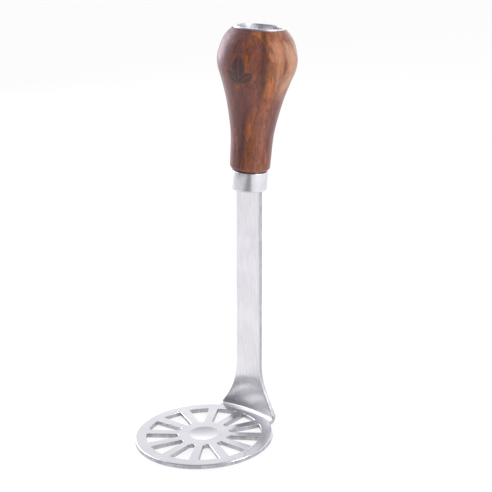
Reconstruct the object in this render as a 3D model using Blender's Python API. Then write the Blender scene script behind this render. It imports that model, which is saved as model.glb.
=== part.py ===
# Masher: a one-piece stamped plate and shank, held in a turned wooden handle by a threaded stud.
# Metres, +Z up. Origin: centre of the flat underside of the pressing plate. The shank rises at +Y.
from math import asin, atan2, cos, hypot, pi, radians, sin, sqrt, tan

import bmesh
import bpy
from mathutils import Matrix, Vector

mm = 0.001

# --- stamping ---
plate_radius = 45.0 * mm
sheet = 3.0 * mm                # one thickness for plate, flare and shank
edge_break = 0.4 * mm

slot_count = 12
rim_width = 7.3 * mm            # ring left outside the slots
slot_inner_radius = 16.7 * mm
slot_outer_width = 13.2 * mm
slot_inner_width = 4.4 * mm
slot_turn = radians(3.8)        # the ring of slots sits this much round from the line of the shank

dimple_radius = 10.0 * mm       # shallow dish pressed into the top of the hub
dimple_depth = 0.45 * mm

bend_inside_radius = 2.2 * mm
shank_lean = radians(3.2)       # back, away from the plate
shank_width = 20.5 * mm
flare_width = 46.0 * mm         # at the bend
flare_height = 34.0 * mm        # from the bend up to where the sides are straight
flare_curve = 2.1               # how quickly the sides sweep in
tab_fillet = 1.8 * mm           # inside corner between the flare and the plate's rim
tab_land = 0.7 * mm             # flat left between that corner and the bend
bow_depth = 2.9 * mm            # the bend is an arc: its ends lie this much nearer the plate's centre
bow_back = 2.4 * mm             # the middle of the flare stands this much behind the plane of the shank
bow_height = 24.0 * mm          # from the bend up to where the flare has become flat
strap_columns = 8               # facets across the flare
shoulder_height = 162.5 * mm    # along the shank, from the plane of the plate's underside
tongue_width = 4.0 * mm
tongue_length = 12.0 * mm
shoulder_slope = 1.2 * mm

# --- ferrule ---
handle_side_lean = radians(3.9)     # the handle sits a little crooked on the shank, to the side and back
handle_back_lean = radians(1.4)
ferrule_height = 12.6 * mm
ferrule_wall = 1.15 * mm
ferrule_floor = 2.0 * mm
ferrule_roll = 1.0 * mm         # rounded lower corner
ferrule_bevel = 0.6 * mm        # upper corner
shank_entry = 5.6 * mm          # how far the shoulder goes up into the ferrule
shank_clearance = 0.35 * mm     # round the shank, where it goes through the ferrule's floor
ferrule_clearance = 0.45 * mm   # between the shank's corners and the ferrule's wall

# --- wooden handle ---
handle_height = 91.3 * mm
handle_gap = 0.6 * mm           # open line between wood and ferrule
handle_foot_overhang = 0.8 * mm     # past the ferrule
handle_foot_round = 1.8 * mm
handle_waist_swell = 0.8 * mm   # past the foot
handle_belly_radius = 25.5 * mm
handle_belly_drop = 19.9 * mm   # from the top down to the widest place
handle_top_margin = 0.5 * mm    # wood outside the cup's lip
part_gap = 0.3 * mm             # between pieces that bear on each other

# --- stud and its fastening, hidden under the cup ---
stud_radius = 3.4 * mm
stud_clearance = 0.4 * mm       # radial, in the wood
stud_overrun = 1.5 * mm         # past the nut
washer_width = 4.3 * mm
washer_thickness = 1.4 * mm
lock_washer_width = 2.5 * mm
lock_washer_thickness = 1.6 * mm
lock_washer_split = 1.0 * mm
nut_wall = 2.1 * mm             # from the stud to the nut's flats
nut_height = 5.2 * mm
counterbore_clearance = 0.5 * mm

# --- drawn cup in the top of the handle ---
cup_radius = 15.2 * mm
cup_wall = 0.9 * mm
cup_depth = 30.0 * mm
cup_corner = 3.5 * mm
cup_lip = 1.4 * mm              # turned out over the wood

# --- fits that follow from the sizes above ---
slot_outer_radius = plate_radius - rim_width
edge_layers = [(edge_break, 0.0), (0.0, edge_break), (0.0, sheet - edge_break), (edge_break, sheet)]
corner_x = flare_width / 2 + tab_fillet                           # centre of the tab's inside corner
corner_y = sqrt((plate_radius + tab_fillet) ** 2 - corner_x ** 2)
wall_foot = (corner_y + tab_land + bow_depth - bow_back       # inner face of the shank, carried down to Z = 0
             + bend_inside_radius / cos(shank_lean) - (sheet + bend_inside_radius) * tan(shank_lean))
wall_start = (sheet + bend_inside_radius) * (1 - sin(shank_lean)) / cos(shank_lean)
ferrule_radius = hypot(shank_width / 2, sheet / 2) + ferrule_clearance + ferrule_wall
handle_foot_radius = ferrule_radius + handle_foot_overhang
handle_waist_radius = handle_foot_radius + handle_waist_swell
handle_belly_height = handle_height - handle_belly_drop
cup_lip_radius = cup_radius + cup_lip
handle_top_radius = cup_lip_radius + handle_top_margin
washer_hole = stud_radius + part_gap
washer_radius = washer_hole + washer_width
lock_washer_radius = washer_hole + lock_washer_width
nut_flats = 2 * (stud_radius + nut_wall)
handle_foot = ferrule_height - shank_entry + handle_gap          # heights from the shoulder, on the axis
handle_top = handle_foot + handle_height
stud_foot = shoulder_slope + 2 * part_gap
spigot_foot = shoulder_slope + part_gap
cup_floor = handle_top - cup_depth
counterbore_top = cup_floor - part_gap
stud_top = counterbore_top - 2 * part_gap
nut_foot = stud_top - stud_overrun - nut_height
lock_washer_foot = nut_foot - part_gap - lock_washer_thickness
washer_foot = lock_washer_foot - part_gap - washer_thickness
counterbore_floor = washer_foot - part_gap


def empty_scene():
    for obj in list(bpy.data.objects):
        bpy.data.objects.remove(obj)


def material(name, colour, metallic, roughness):
    mat = bpy.data.materials.new(name)
    mat.use_nodes = True
    shader = mat.node_tree.nodes["Principled BSDF"]
    shader.inputs["Base Color"].default_value = (*colour, 1.0)
    shader.inputs["Metallic"].default_value = metallic
    shader.inputs["Roughness"].default_value = roughness
    return mat


def add_object(name, bm, parent=None, mat=None):
    bmesh.ops.recalc_face_normals(bm, faces=bm.faces)
    mesh = bpy.data.meshes.new(name)
    bm.to_mesh(mesh)
    bm.free()
    mesh.shade_smooth()
    mesh.set_sharp_from_angle(angle=radians(30))
    if mat:
        mesh.materials.append(mat)
    obj = bpy.data.objects.new(name, mesh)
    bpy.context.scene.collection.objects.link(obj)
    obj.parent = parent
    return obj


def empty(name, parent=None):
    obj = bpy.data.objects.new(name, None)
    bpy.context.scene.collection.objects.link(obj)
    obj.parent = parent
    return obj


def turned(section, steps=64):
    """Solid of revolution about Z from a closed (radius, height) section."""
    bm = bmesh.new()
    points = [bm.verts.new((r, 0.0, z)) for r, z in section]
    rim = [bm.edges.new((a, b)) for a, b in zip(points, points[1:] + points[:1])
           if a.co.x > 0.0 or b.co.x > 0.0]
    bmesh.ops.spin(bm, geom=points + rim, cent=(0, 0, 0), axis=(0, 0, 1), angle=2 * pi, steps=steps)
    bmesh.ops.remove_doubles(bm, verts=bm.verts, dist=0.001 * mm)
    return bm


def add_prism(bm, outline, low, high):
    """Extrudes a flat (x, y) outline from low to high as a solid of its own in bm."""
    base = bm.faces.new([bm.verts.new((x, y, low)) for x, y in outline])
    top = bmesh.ops.extrude_face_region(bm, geom=[base])
    rise = [v for v in top["geom"] if isinstance(v, bmesh.types.BMVert)]
    bmesh.ops.translate(bm, verts=rise, vec=(0, 0, high - low))


def arc_points(centre, radius, start, stop, steps):
    angles = [start + (stop - start) * k / steps for k in range(steps + 1)]
    return [(centre[0] + radius * cos(a), centre[1] + radius * sin(a)) for a in angles]


def cut(target, name, bm, parent=None):
    cutter = add_object(name, bm, parent)
    cutter.hide_render = True
    cutter.display_type = 'WIRE'
    boolean = target.modifiers.new(name, 'BOOLEAN')
    boolean.operation = 'DIFFERENCE'
    boolean.solver = 'EXACT'
    boolean.object = cutter
    return cutter


# --- stamped head ---

def bow(x, rise):
    """How far the flare stands behind the plane of the shank, rise being measured up from the bend."""
    fade = min(1.0, max(0.0, 1.0 - rise / bow_height))
    return (bow_back - bow_depth * (2 * x / flare_width) ** 2) * fade * fade * (3 - 2 * fade)


def bend_start(x):
    """Y where the flat sheet starts to turn up."""
    r = bend_inside_radius
    return wall_foot + (sheet + r) * tan(shank_lean) - r / cos(shank_lean) + bow(x, 0.0)


def half_width(rise):
    t = max(0.0, 1.0 - rise / flare_height)
    return shank_width / 2 + (flare_width - shank_width) / 2 * t ** flare_curve


def flat_point(x, turn, depth):
    """Point on the line where the bend starts; depth is measured from the underside of the sheet."""
    return (x, bend_start(x), depth)


def bend_point(x, turn, depth):
    reach = bend_inside_radius + sheet - depth
    return (x, bend_start(x) + reach * sin(turn), sheet + bend_inside_radius - reach * cos(turn))


def wall_point(x, along, depth):
    """Point on the straight part; along is measured up the shank from the plate's underside."""
    y = wall_foot + sheet / cos(shank_lean) + along * sin(shank_lean) - depth * cos(shank_lean)
    return (x, y + bow(x, along - wall_start), along * cos(shank_lean) + depth * sin(shank_lean))


def ring(bm, half, place, step):
    """Loop of points round the sheet: up the right edge, across the top, down the left edge, across below."""
    inner = half - edge_break
    across = [inner * (1 - 2 * k / strap_columns) for k in range(1, strap_columns)]
    right = [place(half - inset, step, depth) for inset, depth in edge_layers]
    left = [place(inset - half, step, depth) for inset, depth in reversed(edge_layers)]
    top = [place(x, step, sheet) for x in across]
    under = [place(x, step, 0.0) for x in reversed(across)]
    return [bm.verts.new(p) for p in right + top + left + under]


def rim_outline(inset):
    """Edge of the plate from the right side of the tab round to its left side, drawn inset."""
    touch = atan2(corner_y, corner_x)
    right = arc_points((corner_x, corner_y), tab_fillet + inset, pi, touch + pi, 6)
    rim = arc_points((0, 0), plate_radius - inset, touch, -pi - touch, 110)
    left = [(-x, y) for x, y in reversed(right)]
    return right + rim[1:-1] + left


def masher_head(steel):
    bm = bmesh.new()
    start = ring(bm, flare_width / 2, flat_point, 0.0)
    deep = len(edge_layers)
    right, top = start[:deep], start[deep:deep + strap_columns - 1]
    left, under = start[deep + strap_columns - 1:][:deep][::-1], start[2 * deep + strap_columns - 1:]
    loops = [[right[n]] + [bm.verts.new((x, y, z)) for x, y in rim_outline(inset)] + [left[n]]
             for n, (inset, z) in enumerate(edge_layers)]
    bm.faces.new(loops[0] + under)
    bm.faces.new(loops[-1] + top[::-1])
    for low, high in zip(loops, loops[1:]):
        for k in range(len(low) - 1):
            bm.faces.new((low[k], low[k + 1], high[k + 1], high[k]))
    full_turn = pi / 2 - shank_lean
    rings = [ring(bm, flare_width / 2, bend_point, full_turn * k / 6) for k in range(1, 7)]
    rises = [flare_height * k / 16 for k in range(1, 17)]
    rings += [ring(bm, half_width(rise), wall_point, wall_start + rise) for rise in rises]
    rings.append(ring(bm, shank_width / 2, wall_point, shoulder_height))
    rings.append(ring(bm, tongue_width / 2, wall_point, shoulder_height + shoulder_slope))
    rings.append(ring(bm, tongue_width / 2, wall_point, shoulder_height + shoulder_slope + tongue_length))
    previous = start
    for loop in rings:
        for k in range(len(loop)):
            n = (k + 1) % len(loop)
            bm.faces.new((previous[k], previous[n], loop[n], loop[k]))
        previous = loop
    bm.faces.new(previous)
    head = add_object("masher_head", bm, mat=steel)
    cut(head, "slot_cutters", slots())
    cut(head, "dimple_cutter", dimple())


def slots():
    """Wedge slots in a ring: an arc at the rim end, a full round at the hub end."""
    spread = asin(slot_outer_width / 2 / slot_outer_radius)
    small = slot_inner_width / 2
    centre = slot_inner_radius + small
    run = slot_outer_radius * cos(spread) - centre
    side = atan2(slot_outer_width / 2 - small, run)
    wedge = arc_points((0, 0), slot_outer_radius, -spread, spread, 6)
    wedge += arc_points((centre, 0), small, pi / 2 + side, 3 * pi / 2 - side, 8)
    bm = bmesh.new()
    for k in range(slot_count):
        turn = Matrix.Rotation(pi / 2 + slot_turn + 2 * pi * (k + 0.5) / slot_count, 2)
        add_prism(bm, [turn @ Vector(p) for p in wedge], -sheet, 2 * sheet)
    return bm


def dimple():
    sphere = (dimple_radius ** 2 + dimple_depth ** 2) / (2 * dimple_depth)
    steps = [dimple_radius * k / 5 for k in range(6)]
    bowl = [(r, sheet - dimple_depth + sphere - sqrt(sphere ** 2 - r ** 2)) for r in steps]
    return turned(bowl + [(dimple_radius, 2 * sheet), (0.0, 2 * sheet)], 48)


# --- handle assembly, drawn about its own axis with the shank's shoulder at 0 ---

def ferrule(steel, shoulder, axis):
    low = -shank_entry
    top = low + ferrule_height
    inner = ferrule_radius - ferrule_wall
    roll = arc_points((ferrule_radius - ferrule_roll, low + ferrule_roll), ferrule_roll, -pi / 2, 0.0, 4)
    bevel = arc_points((ferrule_radius - ferrule_bevel, top - ferrule_bevel), ferrule_bevel, 0.0, pi / 2, 3)
    floor = low + ferrule_floor
    section = [(0.0, low)] + roll + bevel + [(inner, top), (inner, floor), (0.0, floor)]
    piece = add_object("ferrule", turned(section, 72), axis, steel)
    w = shank_width / 2 + shank_clearance
    t = sheet / 2 + shank_clearance
    bm = bmesh.new()
    add_prism(bm, [(-w, -t), (w, -t), (w, t), (-w, t)], -3 * shank_entry, shoulder_slope)
    cut(piece, "shank_slot_cutter", bm, shoulder)


def handle_side():
    """(radius, height above the foot) up the outside of the wood, as a smooth curve."""
    h, belly = handle_height, handle_belly_height
    top = h - cup_wall - part_gap
    swell = handle_belly_radius - handle_waist_radius
    close = handle_belly_radius - handle_top_radius
    crown = top - belly
    knots = [(handle_foot_radius + 0.3 * mm, handle_foot_round), (handle_waist_radius - 0.3 * mm, 0.09 * h),
             (handle_waist_radius + 0.1 * mm, 0.22 * h),
             (handle_waist_radius + 0.08 * swell, 0.30 * h),
             (handle_waist_radius + 0.24 * swell, 0.41 * h),
             (handle_waist_radius + 0.44 * swell, 0.52 * h),
             (handle_waist_radius + 0.71 * swell, 0.63 * h),
             (handle_waist_radius + 0.93 * swell, 0.71 * h),
             (handle_belly_radius, belly),
             (handle_belly_radius - 0.12 * close, belly + 0.30 * crown),
             (handle_belly_radius - 0.33 * close, belly + 0.60 * crown),
             (handle_belly_radius - 0.62 * close, belly + 0.82 * crown),
             (handle_top_radius, top)]
    return smooth_through(knots, 3)


def smooth_through(knots, steps):
    """Catmull-Rom curve through the knots."""
    ends = [knots[0]] + knots + [knots[-1]]
    points = []
    for a, b, c, d in zip(ends, ends[1:], ends[2:], ends[3:]):
        a, b, c, d = Vector(a), Vector(b), Vector(c), Vector(d)
        for k in range(steps):
            t = k / steps
            points.append(tuple(0.5 * (2 * b + (c - a) * t + (2 * a - 5 * b + 4 * c - d) * t ** 2
                                       + (3 * b - a - 3 * c + d) * t ** 3)))
    return points + [knots[-1]]


def handle(wood, axis):
    bore = stud_radius + stud_clearance
    spigot = ferrule_radius - ferrule_wall - part_gap
    counterbore = washer_radius + counterbore_clearance
    recess = cup_radius + part_gap
    top = handle_top - cup_wall - part_gap
    foot = handle_foot
    shoulder_round = arc_points((handle_foot_radius - handle_foot_round, foot + handle_foot_round),
                                handle_foot_round, -pi / 2, -0.15, 3)
    section = [(bore, spigot_foot), (spigot, spigot_foot), (spigot, foot)] + shoulder_round
    section += [(r, foot + z) for r, z in handle_side()]
    section += [(recess, top), (recess, counterbore_top), (counterbore, counterbore_top),
                (counterbore, counterbore_floor), (bore, counterbore_floor)]
    add_object("handle", turned(section, 72), axis, wood)


def tang_stud(steel, shoulder, axis):
    c = 0.5 * mm
    section = [(0.0, stud_foot), (stud_radius, stud_foot), (stud_radius, stud_top - c),
               (stud_radius - c, stud_top), (0.0, stud_top)]
    piece = add_object("tang_stud", turned(section, 32), axis, steel)
    w = 2 * stud_radius
    t = sheet / 2 + part_gap
    bm = bmesh.new()
    add_prism(bm, [(-w, -t), (w, -t), (w, t), (-w, t)], 0.0, shoulder_slope + tongue_length + part_gap)
    cut(piece, "fork_cutter", bm, shoulder)


def washers_and_nut(steel, axis):
    low, high = washer_foot, washer_foot + washer_thickness
    flat = [(washer_hole, low), (washer_radius, low), (washer_radius, high), (washer_hole, high)]
    add_object("washer", turned(flat, 40), axis, steel)
    low, high = lock_washer_foot, lock_washer_foot + lock_washer_thickness
    spring = [(washer_hole, low), (lock_washer_radius, low), (lock_washer_radius, high), (washer_hole, high)]
    ring = add_object("lock_washer", turned(spring, 40), axis, steel)
    bm = bmesh.new()
    half, reach = lock_washer_split / 2, 2 * lock_washer_radius
    add_prism(bm, [(0.0, -half), (reach, -half), (reach, half), (0.0, half)], low - mm, high + mm)
    cut(ring, "split_cutter", bm, axis)
    bm = bmesh.new()
    corner, nut_top = nut_flats / 2 / cos(pi / 6), nut_foot + nut_height
    add_prism(bm, arc_points((0, 0), corner, 0, 2 * pi * 5 / 6, 5), nut_foot, nut_top)
    nut = add_object("hex_nut", bm, axis, steel)
    bm = bmesh.new()
    add_prism(bm, arc_points((0, 0), washer_hole, 0, 2 * pi * 31 / 32, 31), nut_foot - mm, nut_top + mm)
    cut(nut, "nut_bore_cutter", bm, axis)


def cup_liner(steel, axis):
    low, top = cup_floor, handle_top
    outside = arc_points((cup_radius - cup_corner, low + cup_corner), cup_corner, -pi / 2, 0.0, 5)
    inner = cup_corner - cup_wall
    inside = arc_points((cup_radius - cup_corner, low + cup_corner), inner, 0.0, -pi / 2, 5)
    section = [(0.0, low)] + outside
    section += [(cup_radius, top - cup_wall), (cup_lip_radius, top - cup_wall),
                (cup_lip_radius, top - 0.3 * mm), (cup_lip_radius - 0.3 * mm, top),
                (cup_radius - cup_wall + 0.5 * mm, top), (cup_radius - cup_wall, top - 0.5 * mm)]
    section += inside + [(0.0, low + cup_wall)]
    add_object("cup_liner", turned(section, 64), axis, steel)


def build():
    empty_scene()
    satin_steel = material("satin_steel", (0.62, 0.61, 0.63), 1.0, 0.28)
    bright_steel = material("bright_steel", (0.70, 0.70, 0.71), 1.0, 0.16)
    zinc_steel = material("zinc_steel", (0.45, 0.45, 0.46), 1.0, 0.42)
    rosewood = material("rosewood", (0.20, 0.075, 0.035), 0.0, 0.38)
    masher_head(satin_steel)
    shoulder = empty("shank_shoulder")
    shoulder.location = wall_point(0.0, shoulder_height, sheet / 2)
    shoulder.rotation_euler = (-shank_lean, 0.0, 0.0)
    axis = empty("handle_axis", shoulder)
    axis.rotation_euler = (-handle_back_lean, handle_side_lean, 0.0)
    ferrule(bright_steel, shoulder, axis)
    tang_stud(zinc_steel, shoulder, axis)
    handle(rosewood, axis)
    washers_and_nut(zinc_steel, axis)
    cup_liner(bright_steel, axis)


build()
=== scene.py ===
from math import asin, atan2, cos, hypot, pi, radians, sin, sqrt

import bmesh
import bpy
from mathutils import Matrix, Vector


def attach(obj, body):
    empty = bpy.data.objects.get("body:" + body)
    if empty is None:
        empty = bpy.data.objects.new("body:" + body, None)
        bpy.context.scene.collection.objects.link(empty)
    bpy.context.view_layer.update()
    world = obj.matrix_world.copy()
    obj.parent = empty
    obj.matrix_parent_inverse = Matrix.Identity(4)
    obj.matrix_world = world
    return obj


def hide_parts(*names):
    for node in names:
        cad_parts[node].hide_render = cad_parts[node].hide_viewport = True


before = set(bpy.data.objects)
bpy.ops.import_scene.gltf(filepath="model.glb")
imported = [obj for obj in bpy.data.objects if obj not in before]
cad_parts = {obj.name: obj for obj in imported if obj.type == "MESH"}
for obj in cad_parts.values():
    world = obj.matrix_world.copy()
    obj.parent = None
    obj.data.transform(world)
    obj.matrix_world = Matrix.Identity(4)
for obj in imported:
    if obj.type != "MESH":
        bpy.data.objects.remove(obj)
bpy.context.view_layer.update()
mm = 0.001


def meshPiece(name, bm, material, slot, *nodes):
    bmesh.ops.recalc_face_normals(bm, faces=bm.faces)
    mesh = bpy.data.meshes.new(name)
    bm.to_mesh(mesh)
    bm.free()
    mesh.shade_smooth()
    mesh.set_sharp_from_angle(angle=radians(38))
    mesh.materials.append(material)
    obj = bpy.data.objects.new(name, mesh)
    bpy.context.scene.collection.objects.link(obj)
    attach(obj, "root")
    if nodes:
        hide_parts(*nodes)
    return obj


# Closed (radius, height) section turned about Z
def spun(section, steps):
    bm = bmesh.new()
    points = [bm.verts.new((r, 0.0, z)) for r, z in section]
    edges = [bm.edges.new((a, b)) for a, b in zip(points, points[1:] + points[:1])
             if a.co.x > 0.0 or b.co.x > 0.0]
    bmesh.ops.spin(bm, geom=points + edges, cent=(0, 0, 0), axis=(0, 0, 1), angle=2 * pi, steps=steps)
    bmesh.ops.remove_doubles(bm, verts=bm.verts, dist=0.002 * mm)
    return bm


def arcPoints(centre, radius, start, stop, steps):
    angles = [start + (stop - start) * k / steps for k in range(steps + 1)]
    return [(centre[0] + radius * cos(a), centre[1] + radius * sin(a)) for a in angles]


# Catmull-Rom curve through the knots
def smoothThrough(knots, steps):
    ends = [knots[0]] + knots + [knots[-1]]
    points = []
    for a, b, c, d in zip(ends, ends[1:], ends[2:], ends[3:]):
        a, b, c, d = Vector(a), Vector(b), Vector(c), Vector(d)
        for k in range(steps):
            t = k / steps
            points.append(tuple(0.5 * (2 * b + (c - a) * t + (2 * a - 5 * b + 4 * c - d) * t ** 2
                                       + (3 * b - a - 3 * c + d) * t ** 3)))
    return points + [knots[-1]]


# Keeps each point's own coordinates for the grain, then moves the mesh to its place
def settle(bm, place):
    layer = bm.verts.layers.float_vector.new("grainPlace")
    for v in bm.verts:
        v[layer] = v.co
    bm.transform(place)
    return bm


def shaderGroup(name, inputs, outputs):
    group = bpy.data.node_groups.new(name, "ShaderNodeTree")
    for label, kind, value in inputs:
        socket = group.interface.new_socket(label, in_out="INPUT", socket_type="NodeSocket" + kind)
        if value is not None:
            socket.default_value = value
    for label, kind in outputs:
        group.interface.new_socket(label, in_out="OUTPUT", socket_type="NodeSocket" + kind)
    return group, group.nodes.new("NodeGroupInput"), group.nodes.new("NodeGroupOutput")


def addNode(tree, kind, **settings):
    node = tree.nodes.new("ShaderNode" + kind)
    for key, value in settings.items():
        node.inputs[key].default_value = value
    return node


def math(tree, operation, a, b=0.5, clamp=False):
    node = tree.nodes.new("ShaderNodeMath")
    node.operation = operation
    node.use_clamp = clamp
    for socket, value in zip(node.inputs, (a, b)):
        if isinstance(value, (int, float)):
            socket.default_value = value
        else:
            tree.links.new(value, socket)
    return node.outputs[0]


def mapRange(tree, value, low, high, toLow=0.0, toHigh=1.0, smooth=True):
    node = tree.nodes.new("ShaderNodeMapRange")
    node.interpolation_type = "SMOOTHSTEP" if smooth else "LINEAR"
    tree.links.new(value, node.inputs["Value"])
    for label, amount in (("From Min", low), ("From Max", high), ("To Min", toLow), ("To Max", toHigh)):
        if isinstance(amount, (int, float)):
            node.inputs[label].default_value = amount
        else:
            tree.links.new(amount, node.inputs[label])
    return node.outputs["Result"]


def mixColour(tree, factor, a, b):
    node = tree.nodes.new("ShaderNodeMix")
    node.data_type = "RGBA"
    for socket, value in ((node.inputs["Factor"], factor), (node.inputs["A"], a), (node.inputs["B"], b)):
        if isinstance(value, (int, float)):
            socket.default_value = value
        elif isinstance(value, tuple):
            socket.default_value = (*value, 1.0)
        else:
            tree.links.new(value, socket)
    return node.outputs["Result"]


def noise(tree, vector, scale, detail=4.0, roughness=0.55, distortion=0.0):
    node = tree.nodes.new("ShaderNodeTexNoise")
    tree.links.new(vector, node.inputs["Vector"])
    for label, value in (("Scale", scale), ("Detail", detail), ("Roughness", roughness),
                         ("Distortion", distortion)):
        node.inputs[label].default_value = value
    return node.outputs["Fac"]


def stretched(tree, vector, scale):
    node = tree.nodes.new("ShaderNodeVectorMath")
    node.operation = "MULTIPLY"
    tree.links.new(vector, node.inputs[0])
    if isinstance(scale, tuple):
        node.inputs[1].default_value = scale
    else:
        tree.links.new(scale, node.inputs[1])
    return node.outputs["Vector"]


# Fine drawn or turned lines in metal, with faint cloudy tone under them
def brushedGroup():
    group, given, out = shaderGroup("brushedMetal", [
        ("Place", "Vector", None), ("Line Scale", "Vector", (900.0, 900.0, 25.0)),
        ("Cloud Scale", "Float", 45.0), ("Dull Colour", "Color", (0.6, 0.6, 0.62, 1)),
        ("Bright Colour", "Color", (0.8, 0.8, 0.82, 1)),
        ("Roughness Low", "Float", 0.18), ("Roughness High", "Float", 0.32)],
        [("Colour", "Color"), ("Roughness", "Float"), ("Height", "Float")])
    lines = noise(group, stretched(group, given.outputs["Place"], given.outputs["Line Scale"]), 1.0, 5.0, 0.7)
    cloud = group.nodes.new("ShaderNodeTexNoise")
    group.links.new(given.outputs["Place"], cloud.inputs["Vector"])
    group.links.new(given.outputs["Cloud Scale"], cloud.inputs["Scale"])
    cloud.inputs["Detail"].default_value = 3.0
    lineMask = mapRange(group, lines, 0.3, 0.7)
    cloudMask = mapRange(group, cloud.outputs["Fac"], 0.3, 0.7)
    both = math(group, "ADD", math(group, "MULTIPLY", lineMask, 0.55),
                math(group, "MULTIPLY", cloudMask, 0.45))
    group.links.new(mixColour(group, both, given.outputs["Dull Colour"], given.outputs["Bright Colour"]),
                    out.inputs["Colour"])
    rough = mapRange(group, both, 1.0, 0.0, given.outputs["Roughness Low"],
                     given.outputs["Roughness High"], smooth=False)
    group.links.new(rough, out.inputs["Roughness"])
    group.links.new(lines, out.inputs["Height"])
    return group


# Smears and tiny dust left by hands and cloths: one mask, used for roughness and tone
def handlingGroup():
    group, given, out = shaderGroup("handlingMarks", [
        ("Place", "Vector", None), ("Smear Scale", "Float", 60.0), ("Speck Scale", "Float", 900.0),
        ("Amount", "Float", 0.5)], [("Mask", "Float")])
    smear = group.nodes.new("ShaderNodeTexNoise")
    group.links.new(given.outputs["Place"], smear.inputs["Vector"])
    group.links.new(given.outputs["Smear Scale"], smear.inputs["Scale"])
    smear.inputs["Detail"].default_value = 6.0
    smear.inputs["Distortion"].default_value = 1.2
    speck = group.nodes.new("ShaderNodeTexVoronoi")
    group.links.new(given.outputs["Place"], speck.inputs["Vector"])
    group.links.new(given.outputs["Speck Scale"], speck.inputs["Scale"])
    dots = mapRange(group, speck.outputs["Distance"], 0.16, 0.05)
    wide = mapRange(group, smear.outputs["Fac"], 0.45, 0.75)
    mask = math(group, "MULTIPLY", math(group, "ADD", wide, math(group, "MULTIPLY", dots, 0.3)),
                given.outputs["Amount"], True)
    group.links.new(mask, out.inputs["Mask"])
    return group


brushed = brushedGroup()
handling = handlingGroup()


def placeGroup(tree, group, place, **values):
    node = tree.nodes.new("ShaderNodeGroup")
    node.node_tree = group
    tree.links.new(place, node.inputs["Place"])
    for label, value in values.items():
        key = label.replace("_", " ")
        node.inputs[key].default_value = (*value, 1.0) if "Colour" in key else value
    return node


def newMaterial(name, **plain):
    material = bpy.data.materials.new(name)
    material.use_nodes = True
    tree = material.node_tree
    shader = tree.nodes["Principled BSDF"]
    for label, value in plain.items():
        shader.inputs[label.replace("_", " ")].default_value = value
    return material, tree, shader


def ownPlace(tree):
    node = tree.nodes.new("ShaderNodeAttribute")
    node.attribute_name = "grainPlace"
    return node.outputs["Vector"]


def worldPlace(tree):
    return tree.nodes.new("ShaderNodeTexCoord").outputs["Object"]


def metal(name, place, look):
    material, tree, shader = newMaterial(name, Metallic=1.0)
    where = place(tree)
    grain = placeGroup(tree, brushed, where, Line_Scale=look["lineScale"], Cloud_Scale=look["cloudScale"],
                       Dull_Colour=look["dull"], Bright_Colour=look["bright"],
                       Roughness_Low=look["roughness"][0], Roughness_High=look["roughness"][1])
    marks = placeGroup(tree, handling, where, Amount=look["handling"])
    tree.links.new(mixColour(tree, math(tree, "MULTIPLY", marks.outputs[0], 0.25), grain.outputs["Colour"],
                             look["dull"]), shader.inputs["Base Color"])
    smears = math(tree, "MULTIPLY", marks.outputs[0], 0.12)
    smearedRoughness = math(tree, "ADD", grain.outputs["Roughness"], smears)
    tree.links.new(smearedRoughness, shader.inputs["Roughness"])
    bump = addNode(tree, "Bump", Strength=look["bump"], Distance=0.02 * mm)
    tree.links.new(grain.outputs["Height"], bump.inputs["Height"])
    tree.links.new(bump.outputs["Normal"], shader.inputs["Normal"])
    return material


stamping = {
    "plateRadius": 45.0 * mm, "sheet": 3.0 * mm, "topRound": 0.7 * mm, "underRound": 0.45 * mm,
    "slotCount": 12, "slotTurn": radians(3.8), "slotOuterRadius": 37.7 * mm, "slotInnerRadius": 16.7 * mm,
    "slotOuterWidth": 13.2 * mm, "slotInnerWidth": 4.4 * mm, "slotEdge": 0.35 * mm,
    "dimpleRadius": 10.0 * mm, "dimpleDepth": 0.45 * mm,
    "bendInside": 2.2 * mm, "lean": radians(3.2), "shankWidth": 20.5 * mm,
    "flareWidth": 46.0 * mm, "flareHeight": 34.0 * mm, "flareCurve": 2.1,
    "tabFillet": 1.8 * mm, "tabLand": 0.7 * mm,
    "bowDepth": 2.9 * mm, "bowBack": 2.4 * mm, "bowHeight": 24.0 * mm, "columns": 36,
    "shoulderHeight": 162.5 * mm, "shoulderSlope": 1.2 * mm,
    "steel": {"lineScale": (1500.0, 1500.0, 35.0), "cloudScale": 40.0, "dull": (0.66, 0.65, 0.68),
              "bright": (0.80, 0.79, 0.82), "roughness": (0.17, 0.26), "handling": 0.3, "bump": 0.2},
    # cut-edge steel: its dark tone is partly the duller sheared steel and partly painted shade for the slot
    # walls
    "shearedWithShade": {"lineScale": (700.0, 700.0, 60.0), "cloudScale": 120.0, "dull": (0.34, 0.33, 0.36),
                "bright": (0.60, 0.59, 0.63), "roughness": (0.3, 0.5), "handling": 0.3, "bump": 0.4},
}
cornerX = stamping["flareWidth"] / 2 + stamping["tabFillet"]
cornerY = sqrt((stamping["plateRadius"] + stamping["tabFillet"]) ** 2 - cornerX ** 2)
bendTop = stamping["sheet"] + stamping["bendInside"]
leanSin, leanCos = sin(stamping["lean"]), cos(stamping["lean"])
wallFoot = (cornerY + stamping["tabLand"] + stamping["bowDepth"] - stamping["bowBack"]
            + stamping["bendInside"] / leanCos - bendTop * leanSin / leanCos)
wallStart = bendTop * (1 - leanSin) / leanCos


# How far the flare stands behind the plane of the shank, rise being measured up from the bend
def bow(x, rise):
    s = stamping
    fade = min(1.0, max(0.0, 1.0 - rise / s["bowHeight"]))
    return (s["bowBack"] - s["bowDepth"] * (2 * x / s["flareWidth"]) ** 2) * fade * fade * (3 - 2 * fade)


def halfWidth(rise):
    s = stamping
    t = max(0.0, 1.0 - rise / s["flareHeight"])
    return s["shankWidth"] / 2 + (s["flareWidth"] - s["shankWidth"]) / 2 * t ** s["flareCurve"]


def flatPoint(x, step, depth):
    s = stamping
    return (x, wallFoot + bendTop * leanSin / leanCos - s["bendInside"] / leanCos + bow(x, 0.0), depth)


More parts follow.
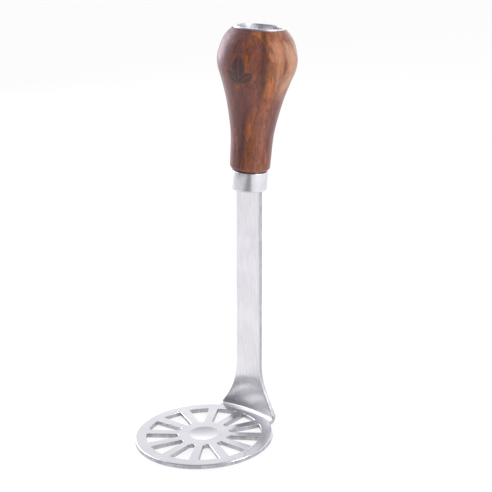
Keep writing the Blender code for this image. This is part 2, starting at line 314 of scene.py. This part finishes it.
def bendPoint(x, turn, depth):
    reach = bendTop - depth
    return (x, flatPoint(x, 0.0, depth)[1] + reach * sin(turn), bendTop - reach * cos(turn))


# Along is measured up the shank, depth from the outer side of the sheet
def wallPoint(x, along, depth):
    y = wallFoot + stamping["sheet"] / leanCos + along * leanSin - depth * leanCos
    return (x, y + bow(x, along - wallStart), along * leanCos + depth * leanSin)


# (inset, height) up the rounded edge of the sheet
def edgeLayers():
    s = stamping
    under, top = s["underRound"], s["topRound"]
    low = [(under - under * cos(a), under - under * sin(a)) for a in (pi / 2, pi / 3, pi / 6, 0)]
    high = [(top - top * cos(a), s["sheet"] - top + top * sin(a))
            for a in (0, pi / 8, pi / 4, 3 * pi / 8, pi / 2)]
    return low + high


# Loop of points round the sheet: up the right edge, across the top, down the left edge, across below
def ring(bm, half, place, step):
    s = stamping
    layers = edgeLayers()
    rightEnd, leftEnd = half - layers[-1][0], half - layers[0][0]
    share = [1 - 2 * k / s["columns"] for k in range(1, s["columns"])]
    points = [place(half - inset, step, depth) for inset, depth in layers]
    points += [place(rightEnd * t, step, s["sheet"]) for t in share]
    points += [place(inset - half, step, depth) for inset, depth in reversed(layers)]
    points += [place(leftEnd * t, step, 0.0) for t in reversed(share)]
    return [bm.verts.new(p) for p in points]


# Edge of the plate from the right side of the tab round to its left side
def rimOutline(inset):
    s = stamping
    touch = atan2(cornerY, cornerX)
    right = arcPoints((cornerX, cornerY), s["tabFillet"] + inset, pi, touch + pi, 12)
    rim = arcPoints((0, 0), s["plateRadius"] - inset, touch, -pi - touch, 240)
    return right + rim[1:-1] + [(-x, y) for x, y in reversed(right)]


def stampedHead():
    s = stamping
    layers = edgeLayers()
    deep, wide = len(layers), s["columns"] - 1
    bm = bmesh.new()
    start = ring(bm, s["flareWidth"] / 2, flatPoint, 0.0)
    right, top = start[:deep], start[deep:deep + wide]
    left, under = start[deep + wide:2 * deep + wide][::-1], start[2 * deep + wide:]
    loops = [[right[n]] + [bm.verts.new((x, y, z)) for x, y in rimOutline(inset)] + [left[n]]
             for n, (inset, z) in enumerate(layers)]
    bm.faces.new(loops[0] + under)
    bm.faces.new(loops[-1] + top[::-1])
    for low, high in zip(loops, loops[1:]):
        for k in range(len(low) - 1):
            bm.faces.new((low[k], low[k + 1], high[k + 1], high[k]))
    fullTurn = pi / 2 - s["lean"]
    rings = [ring(bm, s["flareWidth"] / 2, bendPoint, fullTurn * k / 12) for k in range(1, 13)]
    rises = [s["flareHeight"] * k / 40 for k in range(1, 41)]
    rings += [ring(bm, halfWidth(rise), wallPoint, wallStart + rise) for rise in rises]
    rings.append(ring(bm, s["shankWidth"] / 2, wallPoint, s["shoulderHeight"]))
    previous = start
    for loop in rings:
        for k in range(len(loop)):
            n = (k + 1) % len(loop)
            bm.faces.new((previous[k], previous[n], loop[n], loop[k]))
        previous = loop
    bm.faces.new(previous)
    steel = metal("satinSteel", worldPlace, s["steel"])
    head = meshPiece("stampedHead", bm, steel, "plate_steel", "masher_head")
    cutAway(head, "slotCutters", slotPrisms())
    cutAway(head, "dimpleCutter", dimpleBowl())
    bevel = head.modifiers.new("brokenEdges", "BEVEL")
    bevel.width = s["slotEdge"]
    bevel.segments = 3
    bevel.limit_method = "ANGLE"
    bevel.angle_limit = radians(50)
    bevel.use_clamp_overlap = False
    bevel.harden_normals = False
    normals = head.modifiers.new("flatFaces", "WEIGHTED_NORMAL")
    normals.weight = 80
    normals.keep_sharp = False
    keepResult(head)
    # the cut edges get the darker steel, partly duller cut metal and partly painted shade
    head.data.materials.append(metal("shearedSteelWithShade", worldPlace, s["shearedWithShade"]))
    for face in head.data.polygons:
        face.material_index = int(isSheared(face))
    return head


# Cut edges of the sheet, which take the darker steel that carries painted shade: rim, slot walls and the
# narrow sides of the flare and shank
def isSheared(face):
    across, high = face.center.y > flatPoint(face.center.x, 0.0, 0.0)[1], face.center.z > bendTop
    if across and not high:
        return abs(face.normal.x) > 0.7
    if high:
        return abs(face.normal.y * leanCos - face.normal.z * leanSin) < 0.4
    return abs(face.normal.z) < 0.35


def cutAway(target, name, bm):
    bmesh.ops.recalc_face_normals(bm, faces=bm.faces)
    mesh = bpy.data.meshes.new(name)
    bm.to_mesh(mesh)
    bm.free()
    cutter = bpy.data.objects.new(name, mesh)
    bpy.context.scene.collection.objects.link(cutter)
    boolean = target.modifiers.new(name, "BOOLEAN")
    boolean.operation = "DIFFERENCE"
    boolean.object = cutter
    keepResult(target)
    bpy.data.objects.remove(cutter)


def keepResult(obj):
    bpy.context.view_layer.update()
    made = bpy.data.meshes.new_from_object(obj.evaluated_get(bpy.context.evaluated_depsgraph_get()))
    obj.modifiers.clear()
    obj.data = made


def slotPrisms():
    s = stamping
    spread = asin(s["slotOuterWidth"] / 2 / s["slotOuterRadius"])
    small = s["slotInnerWidth"] / 2
    centre = s["slotInnerRadius"] + small
    side = atan2(s["slotOuterWidth"] / 2 - small, s["slotOuterRadius"] * cos(spread) - centre)
    wedge = arcPoints((0, 0), s["slotOuterRadius"], -spread, spread, 12)
    wedge += arcPoints((centre, 0), small, pi / 2 + side, 3 * pi / 2 - side, 14)
    bm = bmesh.new()
    for k in range(s["slotCount"]):
        turn = Matrix.Rotation(pi / 2 + s["slotTurn"] + 2 * pi * (k + 0.5) / s["slotCount"], 3, "Z")
        base = bm.faces.new([bm.verts.new(turn @ Vector((x, y, -s["sheet"]))) for x, y in wedge])
        top = bmesh.ops.extrude_face_region(bm, geom=[base])["geom"]
        bmesh.ops.translate(bm, verts=[v for v in top if isinstance(v, bmesh.types.BMVert)],
                            vec=(0, 0, 3 * s["sheet"]))
    return bm


def dimpleBowl():
    s = stamping
    r, d, top = s["dimpleRadius"], s["dimpleDepth"], s["sheet"]
    sphere = (r ** 2 + d ** 2) / (2 * d)
    bowl = [(r * k / 12, top - d + sphere - sqrt(sphere ** 2 - (r * k / 12) ** 2)) for k in range(13)]
    return spun(bowl + [(r, 2 * top), (0.0, 2 * top)], 96)


stampedHead()
print("stamped head done")


handleSit = {"side": radians(3.9), "back": radians(1.4)}     # the wood sits a little crooked on the shank
shankPlace = (Matrix.Translation(wallPoint(0.0, stamping["shoulderHeight"], stamping["sheet"] / 2))
              @ Matrix.Rotation(-stamping["lean"], 4, "X"))
handlePlace = (shankPlace @ Matrix.Rotation(handleSit["side"], 4, "Y")
               @ Matrix.Rotation(-handleSit["back"], 4, "X"))


ferrule = {
    "radius": hypot(stamping["shankWidth"] / 2, stamping["sheet"] / 2) + 1.6 * mm,   # wall and clearance
    "height": 12.6 * mm,
    "wall": 1.15 * mm, "floor": 2.0 * mm, "entry": 5.6 * mm, "roll": 1.0 * mm, "bevel": 0.6 * mm,
    "slotClearance": 0.35 * mm,
    "steel": {"lineScale": (5.0, 5.0, 2600.0), "cloudScale": 90.0, "dull": (0.58, 0.58, 0.62),
              "bright": (0.80, 0.80, 0.83), "roughness": (0.20, 0.30), "handling": 0.3, "bump": 0.3},
}


def ferruleCollar():
    f = ferrule
    low = -f["entry"]
    top = low + f["height"]
    inner = f["radius"] - f["wall"]
    roll = arcPoints((f["radius"] - f["roll"], low + f["roll"]), f["roll"], -pi / 2, 0.0, 10)
    bevel = arcPoints((f["radius"] - f["bevel"], top - f["bevel"]), f["bevel"], 0.0, pi / 2, 7)
    floorTop = low + f["floor"]
    section = [(0.0, low)] + roll + bevel + [(inner, top), (inner, floorTop), (0.0, floorTop)]
    bright = metal("turnedSteel", ownPlace, f["steel"])
    collar = meshPiece("ferruleCollar", settle(spun(section, 128), handlePlace), bright,
                       "ferrule_steel", "ferrule")
    w = stamping["shankWidth"] / 2 + f["slotClearance"]
    t = stamping["sheet"] / 2 + f["slotClearance"]
    bm = bmesh.new()
    base = bm.faces.new([bm.verts.new((x, y, -3 * f["entry"]))
                         for x, y in ((-w, -t), (w, -t), (w, t), (-w, t))])
    top = bmesh.ops.extrude_face_region(bm, geom=[base])["geom"]
    bmesh.ops.translate(bm, verts=[v for v in top if isinstance(v, bmesh.types.BMVert)],
                        vec=(0, 0, 3 * f["entry"] + stamping["shoulderSlope"]))
    bm.transform(shankPlace)
    cutAway(collar, "shankSlot", bm)
    return collar


ferruleCollar()
print("ferrule done")


wood = {
    "height": 91.3 * mm, "gap": 0.6 * mm, "footRadius": ferrule["radius"] + 0.8 * mm, "footRound": 1.8 * mm,
    "waistRadius": ferrule["radius"] + 1.6 * mm, "bellyRadius": 25.5 * mm, "bellyHeight": 71.4 * mm,
    "topRadius": 17.1 * mm, "boreRadius": 3.8 * mm, "counterboreRadius": 8.5 * mm, "recessRadius": 15.5 * mm,
    "counterboreDepth": 11.0 * mm, "specular": 0.30, "sheenSpread": 0.45, "grainDepth": 0.06 * mm,
    "light": (0.50, 0.150, 0.036), "mid": (0.155, 0.040, 0.017), "dark": (0.055, 0.018, 0.012),
    "mauve": (0.17, 0.068, 0.064), "burnt": (0.045, 0.035, 0.045), "roughness": 0.36,
    "sheen": 0.32, "sheenTint": (0.95, 0.78, 0.84), "warmAngle": radians(-38), "seamAngle": radians(-36),
    # the honey colour at this angle is a painted highlight on the right side of the wood
    "highlightAngle": radians(12), "paintedHighlight": (0.58, 0.29, 0.14), "markAngle": radians(-76), "markHeight": 66.0 * mm,
    "markRadius": 25.0,      # millimetres across the mark to a radian round the wood
    "markLeaves": ((0.0, 8.6, 4.6), (0.95, 5.8, 3.0), (-0.95, 5.8, 3.0)),
}
cup = {
    "radius": 15.2 * mm, "wall": 0.9 * mm, "depth": 30.0 * mm, "corner": 3.5 * mm, "lipRadius": 16.6 * mm,
    "steel": {"lineScale": (900.0, 900.0, 18.0), "cloudScale": 70.0, "dull": (0.48, 0.47, 0.50),
              "bright": (0.76, 0.75, 0.78), "roughness": (0.24, 0.36), "handling": 0.3, "bump": 0.15},
}
footHeight = ferrule["height"] - ferrule["entry"] + wood["gap"]
topHeight = footHeight + wood["height"]
cupFloor = topHeight - cup["depth"]
partGap = 0.3 * mm


# (radius, height above the foot) up the outside of the wood
def handleSide():
    w = wood
    h, belly, waist, wide = w["height"], w["bellyHeight"], w["waistRadius"], w["bellyRadius"]
    top = h - cup["wall"] - partGap
    swell = wide - waist
    shrink = wide - w["topRadius"]
    knots = [(w["footRadius"] + 0.3 * mm, w["footRound"]), (waist - 0.3 * mm, 0.09 * h),
             (waist + 0.1 * mm, 0.22 * h), (waist + 0.08 * swell, 0.30 * h), (waist + 0.24 * swell, 0.41 * h),
             (waist + 0.44 * swell, 0.52 * h), (waist + 0.71 * swell, 0.63 * h),
             (waist + 0.93 * swell, 0.71 * h), (wide, belly),
             (wide - 0.12 * shrink, belly + 0.30 * (top - belly)),
             (wide - 0.33 * shrink, belly + 0.60 * (top - belly)),
             (wide - 0.62 * shrink, belly + 0.82 * (top - belly)), (w["topRadius"], top)]
    return smoothThrough(knots, 8)


# Angle round the handle's axis from a chosen direction, in radians
def angleRound(tree, x, y, middle):
    c, n = cos(middle), sin(middle)
    along = math(tree, "ADD", math(tree, "MULTIPLY", x, c), math(tree, "MULTIPLY", y, n))
    aside = math(tree, "SUBTRACT", math(tree, "MULTIPLY", y, c), math(tree, "MULTIPLY", x, n))
    return math(tree, "ARCTAN2", aside, along)


# One pointed leaf with a pale rib, drawn on flat coordinates in millimetres
def leafGroup():
    group, given, out = shaderGroup("burntLeaf", [
        ("Across", "Float", 0.0), ("Up", "Float", 0.0), ("Turn", "Float", 0.0),
        ("Length", "Float", 5.0), ("Width", "Float", 2.5)], [("Mask", "Float")])
    across, up, turn, length, width = [given.outputs[k] for k in range(5)]
    c, n = math(group, "COSINE", turn), math(group, "SINE", turn)
    side = math(group, "SUBTRACT", math(group, "MULTIPLY", across, c), math(group, "MULTIPLY", up, n))
    run = math(group, "ADD", math(group, "MULTIPLY", across, n), math(group, "MULTIPLY", up, c))
    share = math(group, "SUBTRACT", math(group, "DIVIDE", run, length), 1.0)
    belly = math(group, "SUBTRACT", 1.0, math(group, "MULTIPLY", share, share))
    reach = math(group, "SUBTRACT", math(group, "MULTIPLY", belly, width), math(group, "ABSOLUTE", side))
    body = mapRange(group, reach, -0.5, 0.7)
    rib = mapRange(group, math(group, "ABSOLUTE", side), 0.15, 0.55)
    group.links.new(math(group, "MULTIPLY", body, math(group, "ADD", math(group, "MULTIPLY", rib, 0.6), 0.4)),
                    out.inputs["Mask"])
    return group


# Three leaves burnt into the side of the wood
def burntMark(tree, x, y, z, grain):
    group = leafGroup()
    away = angleRound(tree, x, y, wood["markAngle"])
    across = math(tree, "ADD", math(tree, "MULTIPLY", away, wood["markRadius"]),
                  math(tree, "MULTIPLY", math(tree, "SUBTRACT", grain, 0.5), 0.8))
    up = math(tree, "MULTIPLY", math(tree, "SUBTRACT", z, wood["markHeight"]), 1000.0)
    total = None
    for turn, length, width in wood["markLeaves"]:
        leaf = tree.nodes.new("ShaderNodeGroup")
        leaf.node_tree = group
        tree.links.new(across, leaf.inputs["Across"])
        tree.links.new(up, leaf.inputs["Up"])
        for label, value in (("Turn", turn), ("Length", length), ("Width", width)):
            leaf.inputs[label].default_value = value
        total = leaf.outputs[0] if total is None else math(tree, "MAXIMUM", total, leaf.outputs[0])
    return total


# 1 near a direction round the handle, fading to 0 away from it
def sideMask(tree, angle, far, near):
    return mapRange(tree, math(tree, "ABSOLUTE", angle), far, near)


def overlay(tree, base, mask, share, colour):
    return mixColour(tree, math(tree, "MULTIPLY", mask, share), base, colour)


# Colour of the wood, with its mark, pores and fine lines as masks
def woodLayers(tree, place):
    w = wood
    split = tree.nodes.new("ShaderNodeSeparateXYZ")
    tree.links.new(place, split.inputs[0])
    x, y, z = split.outputs
    broad = noise(tree, stretched(tree, place, (1.0, 1.0, 0.3)), 42.0, 4.0, 0.6, 0.5)
    lines = noise(tree, stretched(tree, place, (1.0, 1.0, 0.16)), 420.0, 6.0, 0.7, 0.6)
    threads = noise(tree, stretched(tree, place, (1.0, 1.0, 0.07)), 1300.0, 3.0, 0.6)
    mottle = noise(tree, stretched(tree, place, (1.0, 1.0, 0.6)), 600.0, 3.0, 0.65)
    figure = noise(tree, stretched(tree, place, (1.0, 1.0, 0.22)), 75.0, 3.0, 0.55, 1.4)

    # orange clouds over brown, most of them to one side
    facing = angleRound(tree, x, y, w["warmAngle"])
    warm = mapRange(tree, math(tree, "ABSOLUTE", facing), 0.15, 0.75, 0.34, 0.0)
    orange = mapRange(tree, math(tree, "ADD", broad, warm), 0.46, 0.80)
    base = mixColour(tree, orange, w["mid"], w["light"])

    # mauve patches and dark veins
    purple = mapRange(tree, math(tree, "ADD", figure, math(tree, "MULTIPLY", mottle, 0.5)), 0.50, 0.90)
    base = overlay(tree, base, purple, 0.8, w["mauve"])
    vein = mapRange(tree, math(tree, "ABSOLUTE", math(tree, "SUBTRACT", figure, 0.47)), 0.06, 0.0)
    base = overlay(tree, base, vein, 0.35, w["dark"])

    # fine dark and pale streaks, then pores
    base = overlay(tree, base, mapRange(tree, lines, 0.47, 0.70), 0.7, w["dark"])
    base = overlay(tree, base, mapRange(tree, lines, 0.46, 0.30), 0.6, w["light"])
    pores = mapRange(tree, math(tree, "ADD", threads, math(tree, "MULTIPLY", mottle, 0.25)), 0.70, 0.84)
    base = overlay(tree, base, pores, 0.55, w["dark"])

    # one dark line up the belly, and beside it a painted highlight: a pale honey patch on the right side
    seamAway = math(tree, "ADD", angleRound(tree, x, y, w["seamAngle"]), math(tree, "MULTIPLY", mottle, 0.12))
    seam = math(tree, "MULTIPLY", sideMask(tree, seamAway, 0.16, 0.02), mapRange(tree, z, 0.045, 0.075))
    base = overlay(tree, base, seam, 0.7, w["dark"])
    highlightSide = sideMask(tree, angleRound(tree, x, y, w["highlightAngle"]), 0.80, 0.25)
    paintedHighlight = math(tree, "MULTIPLY", highlightSide, mapRange(tree, z, 0.050, 0.070))
    patches = math(tree, "ADD", figure, math(tree, "MULTIPLY", mottle, 0.35))
    base = overlay(tree, base, paintedHighlight, mapRange(tree, patches, 0.45, 0.90, 0.05, 0.85), w["paintedHighlight"])

    # painted shade: a dark mauve band on that side just below the mark, then the mark itself
    markSide = sideMask(tree, angleRound(tree, x, y, w["markAngle"]), 0.95, 0.35)
    rise = math(tree, "SUBTRACT", math(tree, "ADD", z, math(tree, "MULTIPLY", broad, 0.02)), 0.062)
    shadow = math(tree, "MULTIPLY", markSide, sideMask(tree, rise, 0.018, 0.006))
    base = overlay(tree, base, shadow, 0.55, w["mauve"])
    mark = burntMark(tree, x, y, z, mottle)
    return overlay(tree, base, mark, 0.75, w["burnt"]), mark, pores, lines


def woodMaterial():
    w = wood
    material, tree, shader = newMaterial("lacqueredWood", Sheen_Weight=w["sheen"],
                                         Sheen_Roughness=w["sheenSpread"], Specular_IOR_Level=w["specular"])
    shader.inputs["Sheen Tint"].default_value = (*w["sheenTint"], 1)
    place = ownPlace(tree)
    base, mark, pores, lines = woodLayers(tree, place)
    tree.links.new(base, shader.inputs["Base Color"])
    marks = placeGroup(tree, handling, place, Smear_Scale=80.0, Speck_Scale=1200.0, Amount=0.5)
    smeared = math(tree, "ADD", math(tree, "MULTIPLY", marks.outputs[0], 0.10), w["roughness"])
    dull = math(tree, "MULTIPLY", math(tree, "MAXIMUM", pores, mark), 0.15)
    tree.links.new(math(tree, "ADD", dull, smeared), shader.inputs["Roughness"])
    sunk = math(tree, "ADD", pores, math(tree, "MULTIPLY", mark, 1.5))
    height = math(tree, "SUBTRACT", math(tree, "MULTIPLY", lines, 0.3), sunk)
    bump = addNode(tree, "Bump", Strength=0.4, Distance=w["grainDepth"])
    tree.links.new(height, bump.inputs["Height"])
    tree.links.new(bump.outputs["Normal"], shader.inputs["Normal"])
    return material


def woodenHandle():
    w = wood
    spigot = ferrule["radius"] - ferrule["wall"] - partGap
    spigotFoot = stamping["shoulderSlope"] + partGap
    recessFloor = cupFloor - partGap
    counterboreFloor = recessFloor - w["counterboreDepth"]
    top = topHeight - cup["wall"] - partGap
    foot = arcPoints((w["footRadius"] - w["footRound"], footHeight + w["footRound"]), w["footRound"],
                     -pi / 2, -0.15, 7)
    section = [(w["boreRadius"], spigotFoot), (spigot, spigotFoot), (spigot, footHeight)] + foot
    section += [(r, footHeight + z) for r, z in handleSide()]
    section += [(w["recessRadius"], top), (w["recessRadius"], recessFloor),
                (w["counterboreRadius"], recessFloor), (w["counterboreRadius"], counterboreFloor),
                (w["boreRadius"], counterboreFloor)]
    return meshPiece("woodenHandle", settle(spun(section, 144), handlePlace), woodMaterial(),
                     "wood", "handle")


def cupShell():
    c = cup
    low, top = cupFloor, topHeight
    centre = (c["radius"] - c["corner"], low + c["corner"])
    outside = arcPoints(centre, c["corner"], -pi / 2, 0.0, 8)
    inside = arcPoints(centre, c["corner"] - c["wall"], 0.0, -pi / 2, 8)
    inner = c["radius"] - c["wall"]
    section = [(0.0, low)] + outside + [(c["radius"], top - c["wall"]), (c["lipRadius"], top - c["wall"])]
    section += arcPoints((c["lipRadius"] - 0.4 * mm, top - 0.4 * mm), 0.4 * mm, 0.0, pi / 2, 4)
    section += arcPoints((inner + 0.5 * mm, top - 0.5 * mm), 0.5 * mm, pi / 2, pi, 5)
    section += inside + [(0.0, low + c["wall"])]
    drawn = metal("drawnSteel", ownPlace, c["steel"])
    return meshPiece("cupShell", settle(spun(section, 128), handlePlace), drawn, "cup_steel", "cup_liner")


woodenHandle()
cupShell()
print("handle and cup done")


fastener = {"lineScale": (300.0, 300.0, 300.0), "cloudScale": 200.0, "dull": (0.42, 0.42, 0.43),
            "bright": (0.62, 0.61, 0.57), "roughness": (0.32, 0.5), "handling": 0.5, "bump": 0.2}
zinc = metal("zincPlate", worldPlace, fastener)
for name in ("tang_stud", "washer", "lock_washer", "hex_nut"):
    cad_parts[name].data.materials.clear()
    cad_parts[name].data.materials.append(zinc)
print("fastening done")


studio = {
    "floorSize": 6.0, "floorDrop": 0.2 * mm, "floorTone": 0.25, "floorGlow": 0.79, "darkTone": 0.17,
    "facing": radians(-45.0), "sweepEnd": 0.27, "sweepFade": 0.06,     # the dark starts this far in front
    "darkRight": (0.20, 0.08), "darkLeft": (-0.46, -0.24),             # and fades out to both sides
    "darkSide": radians(-78.0), "darkWidth": (0.0, 0.80), "ceilingRise": (0.24, 0.64),
    "horizon": (1.56, 1.56, 1.60), "overhead": (0.50, 0.50, 0.53), "darkRoom": (0.16, 0.16, 0.18),
    "background": (1.0, 1.0, 1.0), "aim": (0.0, 0.02, 0.12),
    "lights": (("rightBox", (1.05, 0.30, 0.65), (0.5, 0.8), 7.0, (1.0, 1.0, 1.0)),
               ("leftBox", (-1.05, 0.05, 0.50), (0.6, 0.9), 9.0, (0.94, 0.88, 1.0)),
               ("highBox", (-0.80, -0.55, 0.95), (0.50, 0.40), 1.5, (1.0, 1.0, 1.0))),
}


# White sweep that stops short in front, with the dark of the room past its edge, shown only in reflections
def floor():
    bm = bmesh.new()
    bmesh.ops.create_grid(bm, x_segments=1, y_segments=1, size=studio["floorSize"] / 2)
    mesh = bpy.data.meshes.new("floor")
    bm.to_mesh(mesh)
    bm.free()
    obj = bpy.data.objects.new("floor", mesh)
    bpy.context.scene.collection.objects.link(obj)
    obj.location = (0, 0, -studio["floorDrop"])
    material, tree, shader = newMaterial("paleFloor", Roughness=0.9, Specular_IOR_Level=0.1)
    split = tree.nodes.new("ShaderNodeSeparateXYZ")
    tree.links.new(worldPlace(tree), split.inputs[0])
    x, y = split.outputs[0], split.outputs[1]
    c, n = cos(studio["facing"]), sin(studio["facing"])
    ahead = math(tree, "ADD", math(tree, "MULTIPLY", x, c), math(tree, "MULTIPLY", y, n))
    aside = math(tree, "SUBTRACT", math(tree, "MULTIPLY", y, c), math(tree, "MULTIPLY", x, n))
    sweepEnd = studio["sweepEnd"]
    past = math(tree, "MULTIPLY", mapRange(tree, ahead, sweepEnd, sweepEnd + studio["sweepFade"]),
                mapRange(tree, aside, *studio["darkRight"]))
    past = math(tree, "MULTIPLY", past, mapRange(tree, aside, *studio["darkLeft"]))
    unseen = math(tree, "SUBTRACT", 1.0, tree.nodes.new("ShaderNodeLightPath").outputs["Is Camera Ray"])
    past = math(tree, "MULTIPLY", past, unseen)
    tone, glow, dark = studio["floorTone"], studio["floorGlow"], studio["darkTone"]
    tree.links.new(mixColour(tree, past, (tone,) * 3, (dark,) * 3), shader.inputs["Base Color"])
    tree.links.new(mixColour(tree, past, (glow,) * 3, (dark,) * 3), shader.inputs["Emission Color"])
    shader.inputs["Emission Strength"].default_value = 1.0
    mesh.materials.append(material)


def softbox(name, place, size, power, tint):
    light = bpy.data.lights.new(name, "AREA")
    light.shape = "RECTANGLE"
    light.size, light.size_y = size
    light.energy = power
    light.color = tint
    obj = bpy.data.objects.new(name, light)
    bpy.context.scene.collection.objects.link(obj)
    obj.location = place
    obj.rotation_euler = (Vector(studio["aim"]) - Vector(place)).to_track_quat("-Z", "Y").to_euler()


# White room with a dark side towards the front, fading to grey overhead; seen directly it is plain white
def surroundings():
    world = bpy.data.worlds.new("studioRoom")
    bpy.context.scene.world = world
    world.use_nodes = True
    tree = world.node_tree
    background = tree.nodes["Background"]
    split = tree.nodes.new("ShaderNodeSeparateXYZ")
    tree.links.new(tree.nodes.new("ShaderNodeTexCoord").outputs["Generated"], split.inputs[0])
    x, y, z = split.outputs
    reach = math(tree, "SQRT", math(tree, "ADD", math(tree, "MULTIPLY", x, x), math(tree, "MULTIPLY", y, y)))
    towards = math(tree, "ADD", math(tree, "MULTIPLY", x, cos(studio["darkSide"])),
                   math(tree, "MULTIPLY", y, sin(studio["darkSide"])))
    darkShare = mapRange(tree, math(tree, "DIVIDE", towards, reach), *studio["darkWidth"])
    walls = mixColour(tree, darkShare, studio["horizon"], studio["darkRoom"])
    room = mixColour(tree, mapRange(tree, z, *studio["ceilingRise"]), walls, studio["overhead"])
    seen = tree.nodes.new("ShaderNodeLightPath").outputs["Is Camera Ray"]
    tree.links.new(mixColour(tree, seen, room, studio["background"]), background.inputs["Color"])


floor()
for light in studio["lights"]:
    softbox(*light)
surroundings()
bpy.context.scene.view_settings.view_transform = "Standard"

cameraPose = {
    "place": (528.7 * mm, -525.6 * mm, 364.1 * mm), "heading": radians(42.67), "down": radians(17.44),
    "tilt": radians(-2.31), "lens": 91.46,
}


def camera():
    c = cameraPose
    data = bpy.data.cameras.new("camera")
    data.lens = c["lens"]
    data.clip_start, data.clip_end = 0.01, 20.0
    obj = bpy.data.objects.new("camera", data)
    bpy.context.scene.collection.objects.link(obj)
    a, e = c["heading"], c["down"]
    back = Vector((sin(a) * cos(e), -cos(a) * cos(e), sin(e)))
    right = Vector((cos(a), sin(a), 0.0))
    up = back.cross(right)
    level = Matrix((right, up, back)).transposed().to_4x4()
    obj.matrix_world = Matrix.Translation(c["place"]) @ level @ Matrix.Rotation(c["tilt"], 4, "Z")
    bpy.context.scene.camera = obj


camera()
print("studio and camera done")
